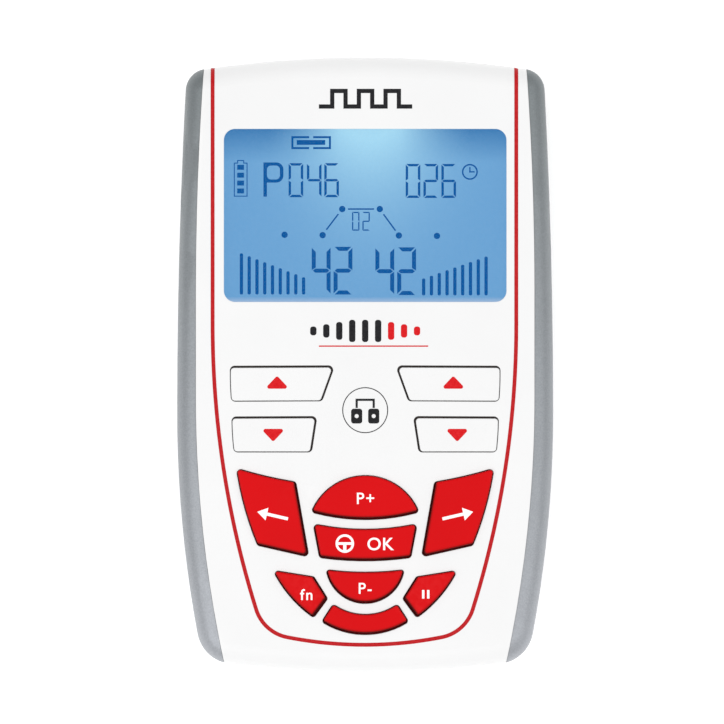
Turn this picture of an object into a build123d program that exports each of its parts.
"""A hand-held four-channel nerve and muscle stimulator, lying on its back.

The row frame: X across the unit, Y along it towards the display, Z out of the front face.
The origin is on the back's resting plane, under the middle of the outline. Units are millimetres.
"""

from build123d import *

import os
from collections.abc import Callable
from math import sqrt
from typing import NamedTuple

# ---------------------------------------------------------------- driving dimensions: casing
LENGTH = 166.4  # over both curved ends, along Y
HALF_WIDTH = 50.85  # at the widest place
WAIST_Y = -13.0  # where the outline is widest
UPPER_SIDE_R = 1650.0  # side curve above the widest place
LOWER_SIDE_R = 325.0  # side curve below it
TOP_END_R = 300.0
BOTTOM_END_R = 280.0
TOP_CORNER_R = 6.0
BOTTOM_CORNER_R = 10.0

FACE_Z = 31.5  # front face above the resting plane
FRONT_EDGE_R = 5.4
BACK_EDGE_R = 5.8
PARTING_Z = 12.5  # where the front and rear shells meet
SEAM = 0.3  # depth of the shadow groove at the parting line
WALL = 2.4  # front and back walls
WALL_INSIDE_Z = FACE_Z - WALL
SIDE_WALL = 3.4  # side and end walls, grip included
INNER_EDGE_R = 2.0  # inside the front and back edges
OPENING_EDGE_R = 0.15  # breaks the rim of each opening in the face
FIT_GAP = 0.1  # between a piece and the opening it drops into

GRIP_THICKNESS = 1.5
GRIP_GAP = 0.08
GRIP_BORDER_X = 45.8  # where the grip starts on the front face, at its widest
GRIP_BORDER_STRAIGHT = (-9.0, 20.0)  # the border runs straight between these Y values
GRIP_BORDER_UPPER_R = 835.0
GRIP_BORDER_LOWER_R = 338.0

# ---------------------------------------------------------------- display
WINDOW_Y = 40.4  # middle of the display
WINDOW_SIZE = (76.3, 46.7)
WINDOW_R = 3.0
FLANGE_MARGIN = 3.7  # how much wider the window's flange is than the opening
FLANGE_SIZE = (WINDOW_SIZE[0] + FLANGE_MARGIN, WINDOW_SIZE[1] + FLANGE_MARGIN)
FLANGE_R = WINDOW_R + 1
FLANGE_THICKNESS = 0.9
TAPE_THICKNESS = 0.2
GASKET_THICKNESS = 1.3
GLASS_SIZE = (81.0, 51.5)
GLASS_THICKNESS = 1.6
BACKLIGHT_THICKNESS = 1.5
FRAME_SIZE = (84.0, 54.6)
FRAME_R = 1.5
PIN_PITCH = 2.54
PIN_COUNT = 24
PIN_SIZE = (0.5, 0.4, 2.4)

# ---------------------------------------------------------------- keys
KEY_GAP = 0.40  # key to its opening, before the key is set off the middle
WHITE_KEY_Z = FACE_Z - 0.2  # the white keys sit just below the face
RED_KEY_Z = FACE_Z + 0.8  # the red keys stand proud
WHITE_KEY_EDGE_R = 0.25
RED_KEY_EDGE_R = 0.55
KEY_TRAVEL = 1.0
KEY_FLANGE = 0.9  # how far the retaining flange reaches past the key
KEY_FLANGE_TOP = WALL_INSIDE_Z - 0.2
KEY_FLANGE_BOTTOM = KEY_FLANGE_TOP - 1.5

# ---------------------------------------------------------------- circuit board and keypad mat
BOARD_TOP = 24.6
BOARD_THICKNESS = 1.6
BOARD_BOTTOM = BOARD_TOP - BOARD_THICKNESS
BOARD_MARGIN = 1.0  # board edge to the inside of the side wall

MAT_THICKNESS = 0.8
MAT_SIDE = [(38.6, 1.6), (38.4, -25.0), (36.2, -36.0), (30.5, -56.0), (22.0, -73.5)]  # right-hand corners
DOME_SKIRT = 1.2  # how much wider a dome is at its foot than at its top
DOME_FOOT_WALL = 0.5
DOME_TOP_WALL = 0.3
PAD_THICKNESS = 0.05
PAD_INSET = 0.4  # a gold pad is this much smaller than its dome
PILL_THICKNESS = 0.4
PILL_INSET = 0.5
PILL_BOTTOM = BOARD_TOP + PAD_THICKNESS + KEY_TRAVEL + 0.05
PILL_TOP = PILL_BOTTOM + PILL_THICKNESS

# ---------------------------------------------------------------- screws and their bosses
CASE_SCREWS = [(39.0, 72.5), (34.0, -66.0)]  # right-hand pair, mirrored to the left
CASE_SCREW_R = 1.5
CASE_SCREW_LENGTH = 15.0
CASE_SCREW_HEAD_R = 2.7
CASE_SCREW_HEAD = 2.0
CROSS_SLOT = (3.2, 0.6, 1.0)
SCREW_SEAT_Z = 5.0  # the case screws' heads bear here
COUNTERBORE_R = 3.0
REAR_BOSS_R = 4.2
FRONT_BOSS_R = 3.4
FRONT_BOSS_HOLE = 10.0
BOARD_NOTCH_R = 3.9  # clears the front bosses

BOARD_SCREWS = [(43.0, 8.0), (39.5, -40.0)]
BOARD_SCREW_R = 1.0
BOARD_SCREW_LENGTH = 5.0
BOARD_SCREW_HEAD_R = 2.0
BOARD_SCREW_HEAD = 1.4
BOARD_BOSS_R = 2.5
BOARD_BOSS_HOLE = 3.6
THREAD_GAP = 0.02  # screw to the hole it is driven into
CLEARANCE = 0.2  # screw to a hole it passes through

# ---------------------------------------------------------------- sockets on the top end
OUTPUT_X = (-30.0, -17.0, 17.0, 30.0)
SOCKET_SIZE = (9.0, 13.0, 9.0)
SOCKET_Z = BOARD_BOTTOM - SOCKET_SIZE[2] / 2
SOCKET_BEHIND_WALL = 0.3
COLLAR_R = 4.0
COLLAR_SUNK = 0.4  # how far a collar ends inside the curved end wall
OUTPUT_BORE_R = 1.8
BORE_DEPTH = 12.0
CHARGE_BORE_R = 2.85
CHARGE_PIN_R = 1.0
CHARGE_PIN_SUNK = 1.5

# ---------------------------------------------------------------- battery pack, bay and door
CELL_R = 7.15
CELL_LENGTH = 49.8
CELL_COUNT = 6
CELL_PITCH = 14.5
PACK_Y = -18.0  # middle of the battery pack
PACK_Z = 10.6
FIRST_CELL_Y = PACK_Y - (CELL_COUNT - 1) / 2 * CELL_PITCH
WRAP = 0.2
WRAP_OVERHANG = 1.2  # the wrap reaches this far past the cells' ends
PACK_LENGTH = (CELL_COUNT - 1) * CELL_PITCH + 2 * (CELL_R + WRAP)
PACK_TOP_Y = PACK_Y + PACK_LENGTH / 2
LINK_SIZE = (0.2, CELL_PITCH + 5, 5.0)
TERMINAL_X = 9.0
TERMINAL_SIZE = (6.0, 1.0, 7.0)
SPRING_WIDTH = 4.0
SPRING_HALF_HEIGHT = 4.0
SPRING_THICKNESS = 0.3

BAY_HALF_WIDTH = 26.2
BAY_WALL = 1.6
BAY_TOP = 20.2
BAY_Y = (-62.0, 28.0)

DOOR_HALF_WIDTH = 26.5
DOOR_FOOT_HALF_WIDTH = 29.5  # the wider part that wraps the bottom end
DOOR_TOP_Y = 31.0
DOOR_FOOT_Y = -76.0
DOOR_CAP_Z = 9.0
DOOR_SKIN = 1.8
DOOR_RECESS = 0.2  # the door sits this far above the resting plane
TONGUE_HALF_WIDTH = 28.5
TONGUE_TOP = 3.0
TONGUE_GAP = 0.1
TONGUE_REACH = 1.0  # the tongue runs this far past the door's skin at both ends
TONGUE_WINDOW = (2 * BAY_HALF_WIDTH - 3, 84.0)  # the tongue is open under the pack
RAIL_HALF_WIDTH = 31.0
RAIL_TOP = 4.7
RAIL_BEYOND = 3.0  # the rails run this far past the door
THUMB_GROOVE = (22.0, 1.4)
THUMB_GROOVE_DEPTH = 0.6
THUMB_GROOVE_PITCH = 3.2
THUMB_GROOVE_COUNT = 6
THUMB_GROOVE_Y = -52.0

LABEL_Y = 54.0
LABEL_SIZE = (52.0, 24.0)
LABEL_R = 2.0
LABEL_MARGIN = 0.2
LABEL_RECESS = 0.3
LABEL_THICKNESS = 0.15

UPWARD = (Align.CENTER, Align.CENTER, Align.MIN)  # stands on its place
UNDER = (Align.CENTER, Align.CENTER, Align.MAX)  # hangs below its place

os.makedirs("parts", exist_ok=True)


# ---------------------------------------------------------------- outlines
def drop(radius, distance):
    """How far a circle of that radius falls away from its tangent at that distance."""
    return radius - sqrt(radius**2 - distance**2)


def side_x(y, inset=0.0):
    """Half the outline's width at y, before the corners are rounded, when it is moved inwards by inset."""
    radius = UPPER_SIDE_R if y > WAIST_Y else LOWER_SIDE_R
    return HALF_WIDTH - inset - drop(radius - inset, y - WAIST_Y)


def border_x(y):
    """Where the side grip's edge lies on the front face at y."""
    low, high = GRIP_BORDER_STRAIGHT
    if y > high:
        return GRIP_BORDER_X - drop(GRIP_BORDER_UPPER_R, y - high)
    if y < low:
        return GRIP_BORDER_X - drop(GRIP_BORDER_LOWER_R, low - y)
    return GRIP_BORDER_X


def end_y(x, end_radius, sign, inset):
    """How far the curved top (+1) or bottom (-1) end lies along Y at x."""
    return sign * (LENGTH / 2 - inset - drop(end_radius - inset, x))


def end_corner(end_radius, sign, inset):
    """The point where the side curve meets the curved top (+1) or bottom (-1) end."""
    y = sign * LENGTH / 2
    for _ in range(12):
        y = end_y(side_x(y, inset), end_radius, sign, inset)
    return side_x(y, inset), y


def body_outline(inset=0.0):
    """The plan outline as a face, moved inwards by inset."""
    top_x, top_y = end_corner(TOP_END_R, 1, inset)
    bottom_x, bottom_y = end_corner(BOTTOM_END_R, -1, inset)
    upper_y = (top_y + WAIST_Y) / 2
    lower_y = (bottom_y + WAIST_Y) / 2
    waist = (side_x(WAIST_Y, inset), WAIST_Y)
    with BuildSketch() as outline:
        with BuildLine():
            middle = (top_x / 2, end_y(top_x / 2, TOP_END_R, 1, inset))
            ThreePointArc((0, LENGTH / 2 - inset), middle, (top_x, top_y))
            ThreePointArc((top_x, top_y), (side_x(upper_y, inset), upper_y), waist)
            ThreePointArc(waist, (side_x(lower_y, inset), lower_y), (bottom_x, bottom_y))
            middle = (bottom_x / 2, end_y(bottom_x / 2, BOTTOM_END_R, -1, inset))
            ThreePointArc((bottom_x, bottom_y), middle, (0, -LENGTH / 2 + inset))
            mirror(about=Plane.YZ)
        make_face()
        corners = outline.vertices()
        fillet(corners.filter_by(lambda v: abs(v.Y - top_y) < 0.01), TOP_CORNER_R - inset)
        corners = outline.vertices()
        fillet(corners.filter_by(lambda v: abs(v.Y - bottom_y) < 0.01), BOTTOM_CORNER_R - inset)
    return outline.sketch


def left_hand(shape):
    """The mirror image of a right-hand shape."""
    return mirror(shape, about=Plane.YZ, mode=Mode.PRIVATE)


def both_sides(points):
    """Right-hand points and their mirror images."""
    return [(side * x, y) for x, y in points for side in (1, -1)]


def grip_region(gap=0.0):
    """The plan area right of the right-hand grip border, as a face."""
    low, high = GRIP_BORDER_STRAIGHT
    reach = LENGTH / 2 + 5
    outside = HALF_WIDTH + 10
    far_x = border_x(-reach) - gap
    straight_x = GRIP_BORDER_X - gap
    with BuildSketch() as region:
        with BuildLine():
            Polyline((outside, reach), (outside, -reach), (far_x, -reach))
            middle = (low - reach) / 2
            ThreePointArc((far_x, -reach), (border_x(middle) - gap, middle), (straight_x, low))
            Line((straight_x, low), (straight_x, high))
            middle = (high + reach) / 2
            near_x = border_x(reach) - gap
            ThreePointArc((straight_x, high), (border_x(middle) - gap, middle), (near_x, reach))
            Line((near_x, reach), (outside, reach))
        make_face()
    return region.sketch


def seam_band():
    """The band round the outline that the shadow groove takes, as a face."""
    with BuildSketch() as band:
        add(body_outline())
        add(body_outline(SEAM), mode=Mode.SUBTRACT)
    return band.sketch


def strip_to(top_y, half_width):
    """A strip along the middle, from beyond the bottom end up to top_y, as a face."""
    with BuildSketch() as strip:
        with Locations((0, (top_y - LENGTH) / 2)):
            Rectangle(2 * half_width, top_y + LENGTH)
    return strip.sketch


def bay_plan(grow=0.0):
    """The battery bay's plan, grown by grow on every side, as a face."""
    low, high = BAY_Y
    with BuildSketch() as plan:
        with Locations((0, (low + high) / 2)):
            Rectangle(2 * (BAY_HALF_WIDTH + grow), high - low + 2 * grow)
    return plan.sketch


def window_plan(size, radius):
    """A rounded rectangle about the middle of the display, as a face."""
    with BuildSketch() as plan:
        with Locations((0, WINDOW_Y)):
            RectangleRounded(*size, radius)
    return plan.sketch


def grown(size, amount):
    """A (width, height) pair, larger by amount each way."""
    return size[0] + amount, size[1] + amount


# ---------------------------------------------------------------- key outlines
def up_key():
    with BuildSketch() as shape:
        with BuildLine():
            Polyline((36.2, -9.9), (11.6, -9.8), (8.1, -0.1), (36.5, -0.2))
            SagittaArc((36.5, -0.2), (36.2, -9.9), 0.15)
        make_face()
        fillet(shape.vertices(), 1.3)
    return shape.sketch


def down_key():
    with BuildSketch() as shape:
        with BuildLine():
            Polyline((35.5, -23.6), (14.4, -23.6), (12.9, -13.8), (36.1, -13.9))
            SagittaArc((36.1, -13.9), (35.5, -23.6), 0.15)
        make_face()
        fillet(shape.vertices(), 1.3)
    return shape.sketch


def arrow_key():
    outer_top = (34.9, -27.7)
    inner_top = (18.65, -31.5)
    inner_bottom = (15.05, -52.0)
    outer_bottom = (29.1, -48.8)
    with BuildSketch() as shape:
        with BuildLine():
            SagittaArc(outer_top, inner_top, 0.3)
            Line(inner_top, inner_bottom)
            Line(inner_bottom, outer_bottom)
            SagittaArc(outer_bottom, outer_top, -0.7)
        make_face()
        fillet(shape.vertices(), 1.1)
    return shape.sketch


def program_up_key():
    with BuildSketch() as shape:
        with BuildLine():
            ThreePointArc((-14.7, -39.8), (0, -29.75), (14.7, -39.8))
            ThreePointArc((14.7, -39.8), (0, -41.85), (-14.7, -39.8))
        make_face()
        fillet(shape.vertices(), 1.0)
    return shape.sketch


def ok_key():
    with BuildSketch() as shape:
        with BuildLine():
            ThreePointArc((-14.2, -42.7), (0, -44.25), (14.2, -42.7))
            Line((14.2, -42.7), (12.4, -52.1))
            ThreePointArc((12.4, -52.1), (0, -53.0), (-12.4, -52.1))
            Line((-12.4, -52.1), (-14.2, -42.7))
        make_face()
        fillet(shape.vertices(), 1.1)
    return shape.sketch


def program_down_key():
    with BuildSketch() as shape:
        with BuildLine():
            ThreePointArc((-10.65, -55.15), (0, -55.85), (10.65, -55.15))
            ThreePointArc((10.65, -55.15), (0, -64.5), (-10.65, -55.15))
        make_face()
        fillet(shape.vertices(), 0.8)
    return shape.sketch


def corner_key():
    with BuildSketch() as shape:
        with BuildLine():
            Polyline((25.1, -55.3), (13.8, -57.1), (10.0, -63.1), (13.9, -68.4))
            SagittaArc((13.9, -68.4), (25.1, -55.3), -1.1)
        make_face()
        fillet(shape.vertices(), 0.9)
    return shape.sketch


def power_key():
    with BuildSketch() as shape:
        with BuildLine():
            ThreePointArc((-8.7, -64.4), (0, -67.25), (8.7, -64.4))
            Line((8.7, -64.4), (11.9, -69.35))
            ThreePointArc((11.9, -69.35), (0, -72.9), (-11.9, -69.35))
            Line((-11.9, -69.35), (-8.7, -64.4))
        make_face()
        fillet(shape.vertices(), 1.0)
    return shape.sketch


class Key(NamedTuple):
    """A push key: its opening's outline and where it and its dome are, drawn on the right-hand side."""

    outline: Callable
    top_z: float
    place: tuple  # off the middle of its opening
    dome: tuple  # middle of its dome on the mat
    dome_r: float
    is_left: bool = False


# How far a key sits off the middle of its opening, as (outwards, upwards).
LOW_AND_OUT = (0.19, -0.17)
HIGH_AND_OUT = (0.22, 0.23)
HIGH = (0.0, 0.24)
RIGHT_KEYS = {
    "key_right_up": Key(up_key, WHITE_KEY_Z, LOW_AND_OUT, (23.5, -5.0), 3.0),
    "key_right_down": Key(down_key, WHITE_KEY_Z, LOW_AND_OUT, (24.8, -18.8), 3.0),
    "key_right_arrow": Key(arrow_key, RED_KEY_Z, HIGH_AND_OUT, (24.8, -40.0), 3.6),
    "key_pause": Key(corner_key, RED_KEY_Z, HIGH_AND_OUT, (16.4, -61.6), 2.4),
}
MIDDLE_KEYS = {
    "key_program_up": Key(program_up_key, RED_KEY_Z, HIGH, (0.0, -36.0), 3.2),
    "key_ok": Key(ok_key, RED_KEY_Z, HIGH, (0.0, -48.3), 3.0),
    "key_program_down": Key(program_down_key, RED_KEY_Z, HIGH, (0.0, -59.6), 2.6),
    "key_power": Key(power_key, RED_KEY_Z, HIGH, (0.0, -70.0), 1.6),
}
LEFT_TWINS = {
    "key_left_up": "key_right_up",
    "key_left_down": "key_right_down",
    "key_left_arrow": "key_right_arrow",
    "key_function": "key_pause",
}
LEFT_KEYS = {name: RIGHT_KEYS[twin]._replace(is_left=True) for name, twin in LEFT_TWINS.items()}
KEYS = {**RIGHT_KEYS, **LEFT_KEYS, **MIDDLE_KEYS}


def opening_of(key):
    """The key's opening in the front shell, as a face at its true place."""
    return left_hand(key.outline()) if key.is_left else key.outline()


def key_plan(key, grow=0.0):
    """The key's own outline, set off its opening by the gap and grown by grow."""
    with BuildSketch() as plan:
        with Locations(key.place):
            add(key.outline())
        offset(amount=grow - KEY_GAP, mode=Mode.REPLACE)
    return left_hand(plan.sketch) if key.is_left else plan.sketch


def dome_place(key, z):
    x, y = key.dome
    return (-x if key.is_left else x), y, z


# ---------------------------------------------------------------- outer solids used by several pieces
def rounded_body(inset=0.0):
    """The unit's outer solid with its rounded front and back edges, shrunk by inset all round."""
    with BuildPart() as solid:
        with BuildSketch(Plane.XY.offset(inset)):
            add(body_outline(inset))
        extrude(amount=FACE_Z - 2 * inset)
        fillet(solid.faces().sort_by(Axis.Z)[-1].edges(), FRONT_EDGE_R - inset)
        fillet(solid.faces().sort_by(Axis.Z)[0].edges(), BACK_EDGE_R - inset)
    return solid.part


def cavity():
    """The space inside both shells."""
    with BuildPart() as hollow:
        with BuildSketch(Plane.XY.offset(WALL)):
            add(body_outline(SIDE_WALL))
        extrude(amount=FACE_Z - 2 * WALL)
        fillet(hollow.faces().sort_by(Axis.Z)[-1].edges(), INNER_EDGE_R)
        fillet(hollow.faces().sort_by(Axis.Z)[0].edges(), INNER_EDGE_R)
    return hollow.part


def door_space(gap=0.0):
    """The battery door's skin, or with a gap the recess it fills: a band over the back and bottom end."""
    with BuildPart() as space:
        with BuildSketch():
            add(strip_to(DOOR_TOP_Y + gap, DOOR_HALF_WIDTH + gap))
            add(strip_to(DOOR_FOOT_Y + gap, DOOR_FOOT_HALF_WIDTH + gap))
        extrude(amount=DOOR_CAP_Z + gap)
        add(rounded_body(DOOR_SKIN + gap), mode=Mode.SUBTRACT)
    return space.part


def write(piece, name):
    """Labels a finished piece and writes its STEP file."""
    piece.part.label = name
    export_step(piece.part, f"parts/{name}.step")


body = rounded_body()
grip_bed = rounded_body(GRIP_THICKNESS)
inside = cavity()

with BuildPart() as between_grips:
    with BuildSketch():
        Rectangle(2 * HALF_WIDTH + 20, LENGTH + 10)
        add(grip_region(GRIP_GAP), mode=Mode.SUBTRACT)
        add(left_hand(grip_region(GRIP_GAP)), mode=Mode.SUBTRACT)
    extrude(amount=FACE_Z)

# The two shells together: full thickness between the grips, and a bed for each grip outside them.
with BuildPart() as casing:
    add(body)
    add(between_grips.part, mode=Mode.INTERSECT)
    add(grip_bed)

# ---------------------------------------------------------------- casings
with BuildPart() as front_shell:
    add(casing.part)
    split(bisect_by=Plane.XY.offset(PARTING_Z), keep=Keep.TOP)
    add(inside, mode=Mode.SUBTRACT)
    with Locations(*[(x, y, PARTING_Z) for x, y in both_sides(CASE_SCREWS)]):
        Cylinder(FRONT_BOSS_R, WALL_INSIDE_Z - PARTING_Z, align=UPWARD)
        Cylinder(CASE_SCREW_R, FRONT_BOSS_HOLE, align=UPWARD, mode=Mode.SUBTRACT)
    with Locations(*[(x, y, BOARD_TOP) for x, y in both_sides(BOARD_SCREWS)]):
        Cylinder(BOARD_BOSS_R, WALL_INSIDE_Z - BOARD_TOP, align=UPWARD)
        Cylinder(BOARD_SCREW_R, BOARD_BOSS_HOLE, align=UPWARD, mode=Mode.SUBTRACT)
    # display and key openings, with the outer rim of each broken by a small radius
    with BuildSketch(Plane.XY.offset(FACE_Z)):
        add(window_plan(WINDOW_SIZE, WINDOW_R))
        for key in KEYS.values():
            add(opening_of(key))
    extrude(amount=-WALL - 1, mode=Mode.SUBTRACT)
    rims = front_shell.faces().filter_by(Plane.XY).sort_by(Axis.Z)[-1].inner_wires()
    fillet([edge for rim in rims for edge in rim.edges()], OPENING_EDGE_R)
    # socket holes through the top end
    with BuildSketch(Plane.XZ.offset(-LENGTH / 2 - 1)):
        with Locations(*[(x, SOCKET_Z) for x in (*OUTPUT_X, 0.0)]):
            Circle(COLLAR_R + FIT_GAP)
    extrude(amount=BORE_DEPTH, mode=Mode.SUBTRACT)
    # its half of the shadow groove round the parting line
    with BuildSketch(Plane.XY.offset(PARTING_Z)):
        add(seam_band())
    extrude(amount=SEAM / 2, mode=Mode.SUBTRACT)
write(front_shell, "front_shell")

with BuildPart() as rear_shell:
    add(casing.part)
    split(bisect_by=Plane.XY.offset(PARTING_Z), keep=Keep.BOTTOM)
    add(inside, mode=Mode.SUBTRACT)
    # battery bay: four walls and a roof
    with BuildSketch(Plane.XY.offset(WALL - 1)):
        add(bay_plan(BAY_WALL))
    extrude(amount=BAY_TOP - WALL + 1)
    with BuildSketch(Plane.XY.offset(-1)):
        add(bay_plan())
    extrude(amount=BAY_TOP - BAY_WALL + 1, mode=Mode.SUBTRACT)
    # the thick band round the bay that holds the door's grooves
    with BuildSketch(Plane.XY.offset(WALL - 1)):
        add(body_outline(SIDE_WALL - 0.6))
        add(strip_to(DOOR_TOP_Y + RAIL_BEYOND, RAIL_HALF_WIDTH), mode=Mode.INTERSECT)
        add(bay_plan(), mode=Mode.SUBTRACT)
    extrude(amount=RAIL_TOP - WALL + 1)
    # the door's recess, and the grooves that its tongue slides in
    add(door_space(FIT_GAP), mode=Mode.SUBTRACT)
    with BuildSketch(Plane.XY.offset(DOOR_SKIN - TONGUE_GAP)):
        add(strip_to(DOOR_TOP_Y + TONGUE_REACH + CLEARANCE, TONGUE_HALF_WIDTH + TONGUE_GAP))
    extrude(amount=TONGUE_TOP - DOOR_SKIN + 2 * TONGUE_GAP, mode=Mode.SUBTRACT)
    # screw bosses with sunk heads
    with Locations(*[(x, y, PARTING_Z) for x, y in both_sides(CASE_SCREWS)]):
        Cylinder(REAR_BOSS_R, PARTING_Z - WALL, align=UNDER)
        Cylinder(CASE_SCREW_R + CLEARANCE, PARTING_Z, align=UNDER, mode=Mode.SUBTRACT)
    with Locations(*[(x, y, SCREW_SEAT_Z) for x, y in both_sides(CASE_SCREWS)]):
        Cylinder(COUNTERBORE_R, SCREW_SEAT_Z, align=UNDER, mode=Mode.SUBTRACT)
    # recess for the label
    with BuildSketch():
        with Locations((0, LABEL_Y)):
            RectangleRounded(*grown(LABEL_SIZE, 2 * LABEL_MARGIN), LABEL_R + LABEL_MARGIN)
    extrude(amount=LABEL_RECESS, mode=Mode.SUBTRACT)
    # its half of the shadow groove
    with BuildSketch(Plane.XY.offset(PARTING_Z)):
        add(seam_band())
    extrude(amount=-SEAM / 2, mode=Mode.SUBTRACT)
write(rear_shell, "rear_shell")

for side_name, region in (("right", grip_region()), ("left", left_hand(grip_region()))):
    with BuildPart() as side_grip:
        with BuildSketch():
            add(region)
        extrude(amount=FACE_Z)
        add(body, mode=Mode.INTERSECT)
        add(grip_bed, mode=Mode.SUBTRACT)
    write(side_grip, f"side_grip_{side_name}")

# ---------------------------------------------------------------- battery door and pack
with BuildPart() as battery_door:
    add(door_space())
    add(body, mode=Mode.INTERSECT)
    with BuildSketch(Plane.XY.offset(DOOR_SKIN)):
        with Locations((0, (DOOR_FOOT_Y + DOOR_TOP_Y) / 2)):
            Rectangle(2 * TONGUE_HALF_WIDTH, DOOR_TOP_Y - DOOR_FOOT_Y + 2 * TONGUE_REACH)
        with Locations((0, PACK_Y + 1)):
            Rectangle(*TONGUE_WINDOW, mode=Mode.SUBTRACT)
    extrude(amount=TONGUE_TOP - DOOR_SKIN)
    with BuildSketch():
        Rectangle(2 * LENGTH, 2 * LENGTH)
    extrude(amount=DOOR_RECESS, mode=Mode.SUBTRACT)
    with BuildSketch(Plane.XY.offset(DOOR_RECESS)):
        with Locations((0, THUMB_GROOVE_Y)), GridLocations(1, THUMB_GROOVE_PITCH, 1, THUMB_GROOVE_COUNT):
            SlotOverall(*THUMB_GROOVE)
    extrude(amount=THUMB_GROOVE_DEPTH, mode=Mode.SUBTRACT)
write(battery_door, "battery_door")

with BuildPart() as battery_cells:
    with Locations(*[(0, FIRST_CELL_Y + i * CELL_PITCH, PACK_Z) for i in range(CELL_COUNT)]):
        Cylinder(CELL_R - 0.01, CELL_LENGTH, rotation=(0, 90, 0))
write(battery_cells, "battery_cells")

with BuildPart() as battery_wrap:
    with BuildSketch(Plane.YZ.offset(-CELL_LENGTH / 2 - WRAP_OVERHANG)):
        with Locations((PACK_Y, PACK_Z)):
            SlotOverall(PACK_LENGTH, 2 * (CELL_R + WRAP))
            SlotOverall(PACK_LENGTH - 2 * WRAP, 2 * CELL_R, mode=Mode.SUBTRACT)
    extrude(amount=CELL_LENGTH + 2 * WRAP_OVERHANG)
write(battery_wrap, "battery_wrap")

# Nickel strips join neighbouring cells, alternately at one end and the other.
with BuildPart() as cell_links:
    for i in range(CELL_COUNT - 1):
        x = (CELL_LENGTH / 2 + LINK_SIZE[0] / 2) * (1 if i % 2 else -1)
        with Locations((x, FIRST_CELL_Y + (i + 0.5) * CELL_PITCH, PACK_Z)):
            Box(*LINK_SIZE)
write(cell_links, "cell_links")

with BuildPart() as battery_terminals:
    terminal_y = PACK_TOP_Y + TERMINAL_SIZE[1] / 2
    with Locations((TERMINAL_X, terminal_y, PACK_Z), (-TERMINAL_X, terminal_y, PACK_Z)):
        Box(*TERMINAL_SIZE)
write(battery_terminals, "battery_terminals")

with BuildPart() as battery_contacts:
    for x in (TERMINAL_X, -TERMINAL_X):
        with BuildSketch(Plane.YZ.offset(x - SPRING_WIDTH / 2)):
            with BuildLine():
                low_foot = (BAY_Y[1], PACK_Z - SPRING_HALF_HEIGHT)
                high_foot = (BAY_Y[1], PACK_Z + SPRING_HALF_HEIGHT)
                touch_y = PACK_TOP_Y + TERMINAL_SIZE[1]
                ThreePointArc(low_foot, (touch_y, PACK_Z), high_foot)
                ThreePointArc(high_foot, (touch_y + SPRING_THICKNESS, PACK_Z), low_foot)
            make_face()
        extrude(amount=SPRING_WIDTH)
write(battery_contacts, "battery_contacts")

# ---------------------------------------------------------------- display
tape_bottom = WALL_INSIDE_Z - TAPE_THICKNESS
lcd_top = WALL_INSIDE_Z - GASKET_THICKNESS
with BuildPart() as display_window:
    with BuildSketch(Plane.XY.offset(tape_bottom - FLANGE_THICKNESS)):
        add(window_plan(FLANGE_SIZE, FLANGE_R))
    extrude(amount=FLANGE_THICKNESS)
    with BuildSketch(Plane.XY.offset(tape_bottom)):
        add(window_plan(grown(WINDOW_SIZE, -2 * FIT_GAP), WINDOW_R - FIT_GAP))
    extrude(amount=FACE_Z - 0.1 - tape_bottom)  # the plate's top lies just below the face
    fillet(display_window.faces().sort_by(Axis.Z)[-1].edges(), OPENING_EDGE_R)
write(display_window, "display_window")

with BuildPart() as window_tape:
    with BuildSketch(Plane.XY.offset(tape_bottom)):
        add(window_plan(FLANGE_SIZE, FLANGE_R))
        add(window_plan(grown(WINDOW_SIZE, 0.4), WINDOW_R), mode=Mode.SUBTRACT)
    extrude(amount=TAPE_THICKNESS)
write(window_tape, "window_tape")

with BuildPart() as window_gasket:
    with BuildSketch(Plane.XY.offset(lcd_top)):
        add(window_plan(FRAME_SIZE, FRAME_R))
        add(window_plan(grown(FLANGE_SIZE, 0.4), FLANGE_R), mode=Mode.SUBTRACT)
    extrude(amount=GASKET_THICKNESS)
write(window_gasket, "window_gasket")

with BuildPart() as lcd_frame:
    with BuildSketch(Plane.XY.offset(BOARD_TOP)):
        add(window_plan(FRAME_SIZE, FRAME_R))
        with Locations((0, WINDOW_Y - 0.4)):  # lower by the room that the pins need
            Rectangle(GLASS_SIZE[0] + 0.2, GLASS_SIZE[1] + 0.9, mode=Mode.SUBTRACT)
    extrude(amount=lcd_top - BOARD_TOP)
write(lcd_frame, "lcd_frame")

with BuildPart() as lcd_glass:
    with Locations((0, WINDOW_Y, lcd_top)):
        Box(*GLASS_SIZE, GLASS_THICKNESS, align=UNDER)
write(lcd_glass, "lcd_glass")

with BuildPart() as lcd_backlight:
    with Locations((0, WINDOW_Y, BOARD_TOP)):
        Box(*GLASS_SIZE, BACKLIGHT_THICKNESS, align=UPWARD)
write(lcd_backlight, "lcd_backlight")

with BuildPart() as lcd_pins:
    pin_y = WINDOW_Y - GLASS_SIZE[1] / 2 - 0.25
    with Locations((0, pin_y, BOARD_TOP)), GridLocations(PIN_PITCH, 1, PIN_COUNT, 1):
        Box(*PIN_SIZE, align=UPWARD)
write(lcd_pins, "lcd_pins")

# ---------------------------------------------------------------- keypad
for name, key in KEYS.items():
    with BuildPart() as key_cap:
        with BuildSketch(Plane.XY.offset(KEY_FLANGE_BOTTOM)):
            add(key_plan(key, KEY_FLANGE))
        extrude(amount=KEY_FLANGE_TOP - KEY_FLANGE_BOTTOM)
        with BuildSketch(Plane.XY.offset(KEY_FLANGE_TOP)):
            add(key_plan(key))
        extrude(amount=key.top_z - KEY_FLANGE_TOP)
        edge_radius = WHITE_KEY_EDGE_R if key.top_z == WHITE_KEY_Z else RED_KEY_EDGE_R
        fillet(key_cap.faces().sort_by(Axis.Z)[-1].edges(), edge_radius)
    write(key_cap, name)

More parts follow.
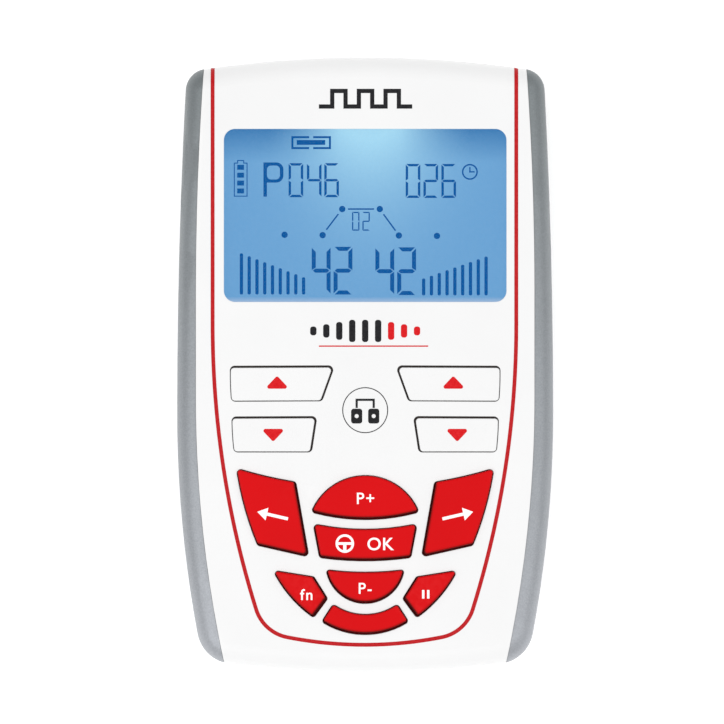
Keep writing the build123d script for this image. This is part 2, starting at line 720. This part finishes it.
with BuildPart() as keypad_mat:
    with BuildSketch(Plane.XY.offset(BOARD_TOP)):
        with BuildLine():
            Polyline(*MAT_SIDE, *[(-x, y) for x, y in reversed(MAT_SIDE)], close=True)
        make_face()
    extrude(amount=MAT_THICKNESS)
    mat_top = BOARD_TOP + MAT_THICKNESS
    for key in KEYS.values():
        foot_r = key.dome_r + DOME_SKIRT
        with Locations(dome_place(key, mat_top)):
            Cone(foot_r, key.dome_r, KEY_FLANGE_BOTTOM - mat_top, align=UPWARD)
        hollow = (foot_r - DOME_FOOT_WALL, key.dome_r - DOME_TOP_WALL, PILL_TOP - BOARD_TOP)
        with Locations(dome_place(key, BOARD_TOP)):
            Cone(*hollow, align=UPWARD, mode=Mode.SUBTRACT)
write(keypad_mat, "keypad_mat")

with BuildPart() as carbon_pills:
    for key in KEYS.values():
        with Locations(dome_place(key, PILL_BOTTOM)):
            Cylinder(key.dome_r - PILL_INSET, PILL_THICKNESS, align=UPWARD)
write(carbon_pills, "carbon_pills")

with BuildPart() as contact_pads:
    for key in KEYS.values():
        with Locations(dome_place(key, BOARD_TOP)):
            Cylinder(key.dome_r - PAD_INSET, PAD_THICKNESS, align=UPWARD)
write(contact_pads, "contact_pads")

# ---------------------------------------------------------------- circuit board and what is soldered to it
with BuildPart() as main_board:
    with BuildSketch(Plane.XY.offset(BOARD_BOTTOM)):
        add(body_outline(SIDE_WALL + BOARD_MARGIN))
        with Locations(*both_sides(CASE_SCREWS)):
            Circle(BOARD_NOTCH_R, mode=Mode.SUBTRACT)
        for x, y in both_sides(CASE_SCREWS):
            # the notch runs out to the board's edge
            with Locations((x + (5 if x > 0 else -5), y)):
                Rectangle(10, 2 * BOARD_NOTCH_R, mode=Mode.SUBTRACT)
        with Locations(*both_sides(BOARD_SCREWS)):
            Circle(BOARD_SCREW_R + CLEARANCE, mode=Mode.SUBTRACT)
    extrude(amount=BOARD_THICKNESS)
write(main_board, "main_board")

# Each output transformer is a bobbin with a flange on the board, a winding and a second flange.
FLANGE_PLAN = (11.0, 14.0)
WINDING_PLAN = (9.0, 8.0)
with BuildPart() as output_transformers:
    for x, y in both_sides([(37.0, 33.5), (37.0, 18.5)]):
        with Locations((x, y, BOARD_BOTTOM)):
            Box(*FLANGE_PLAN, 3, align=UNDER)
        with Locations((x, y, BOARD_BOTTOM - 3)):
            Box(*WINDING_PLAN, 6, align=UNDER)
        with Locations((x, y, BOARD_BOTTOM - 9)):
            Box(*FLANGE_PLAN, 2, align=UNDER)
write(output_transformers, "output_transformers")

CAN_R = 4.0
CAN_LENGTH = 11.0
with BuildPart() as capacitors:
    with Locations(*[(x, 56, BOARD_BOTTOM) for x in (13, -13, 0)]):
        Cylinder(CAN_R, CAN_LENGTH, align=UNDER)
    fillet(capacitors.edges().group_by(Axis.Z)[0], 0.6)
write(capacitors, "capacitors")

CONTROLLER_SIZE = (14.0, 14.0, 1.4)
DRIVER_SIZE = (6.0, 9.0, 1.6)
with BuildPart() as control_chips:
    with Locations((0, 40, BOARD_BOTTOM)):
        Box(*CONTROLLER_SIZE, align=UNDER)
    with Locations((0, -6.5, BOARD_BOTTOM)), GridLocations(32, 23, 2, 2):
        Box(*DRIVER_SIZE, align=UNDER)
write(control_chips, "control_chips")

BUZZER_PLACE = (-27, 50)
BUZZER_R = 6.0
BUZZER_HEIGHT = 5.5
BUZZER_HOLE_R = 1.0
with BuildPart() as buzzer:
    with Locations((*BUZZER_PLACE, BOARD_BOTTOM)):
        Cylinder(BUZZER_R, BUZZER_HEIGHT, align=UNDER)
    with Locations((*BUZZER_PLACE, BOARD_BOTTOM - BUZZER_HEIGHT)):
        Cylinder(BUZZER_HOLE_R, 2, align=UPWARD, mode=Mode.SUBTRACT)
write(buzzer, "buzzer")


def socket_face_y(x):
    """Where a socket's collar ends: just inside the curved end wall."""
    return LENGTH / 2 - drop(TOP_END_R, abs(x) + COLLAR_R) - COLLAR_SUNK


def socket_body(x, bore_radius):
    """A board-mounted socket with a round collar through the end wall."""
    wall_y = LENGTH / 2 - drop(TOP_END_R, abs(x) + SOCKET_SIZE[0] / 2)
    inner_y = wall_y - SIDE_WALL - SOCKET_BEHIND_WALL
    face_y = socket_face_y(x)
    with BuildPart() as socket:
        with Locations((x, inner_y, BOARD_BOTTOM)):
            Box(*SOCKET_SIZE, align=(Align.CENTER, Align.MAX, Align.MAX))
        with BuildSketch(Plane.XZ.offset(-inner_y)):
            with Locations((x, SOCKET_Z)):
                Circle(COLLAR_R)
        extrude(amount=inner_y - face_y)
        with BuildSketch(Plane.XZ.offset(-face_y)):
            with Locations((x, SOCKET_Z)):
                Circle(bore_radius)
        extrude(amount=BORE_DEPTH, mode=Mode.SUBTRACT)
    return socket.part


with BuildPart() as output_sockets:
    for x in OUTPUT_X:
        add(socket_body(x, OUTPUT_BORE_R))
write(output_sockets, "output_sockets")

with BuildPart() as charge_socket:
    add(socket_body(0.0, CHARGE_BORE_R))
write(charge_socket, "charge_socket")

with BuildPart() as charge_pin:
    with BuildSketch(Plane.XZ.offset(BORE_DEPTH - socket_face_y(0.0))):
        with Locations((0, SOCKET_Z)):
            Circle(CHARGE_PIN_R)
    extrude(amount=CHARGE_PIN_SUNK - BORE_DEPTH)
write(charge_pin, "charge_pin")

# ---------------------------------------------------------------- fasteners and label
with BuildPart() as case_screws:
    for x, y in both_sides(CASE_SCREWS):
        with Locations((x, y, SCREW_SEAT_Z)):
            Cylinder(CASE_SCREW_HEAD_R, CASE_SCREW_HEAD, align=UNDER)
            Cylinder(CASE_SCREW_R - THREAD_GAP, CASE_SCREW_LENGTH, align=UPWARD)
        for turn in (0, 90):
            with Locations(Location((x, y, SCREW_SEAT_Z - CASE_SCREW_HEAD), (0, 0, turn))):
                Box(*CROSS_SLOT, align=UPWARD, mode=Mode.SUBTRACT)
write(case_screws, "case_screws")

with BuildPart() as board_screws:
    with Locations(*[(x, y, BOARD_BOTTOM) for x, y in both_sides(BOARD_SCREWS)]):
        Cylinder(BOARD_SCREW_HEAD_R, BOARD_SCREW_HEAD, align=UNDER)
        Cylinder(BOARD_SCREW_R - THREAD_GAP, BOARD_SCREW_LENGTH, align=UPWARD)
write(board_screws, "board_screws")

with BuildPart() as rating_label:
    with BuildSketch(Plane.XY.offset(LABEL_RECESS - LABEL_THICKNESS)):
        with Locations((0, LABEL_Y)):
            RectangleRounded(*LABEL_SIZE, LABEL_R)
    extrude(amount=LABEL_THICKNESS)
write(rating_label, "rating_label")
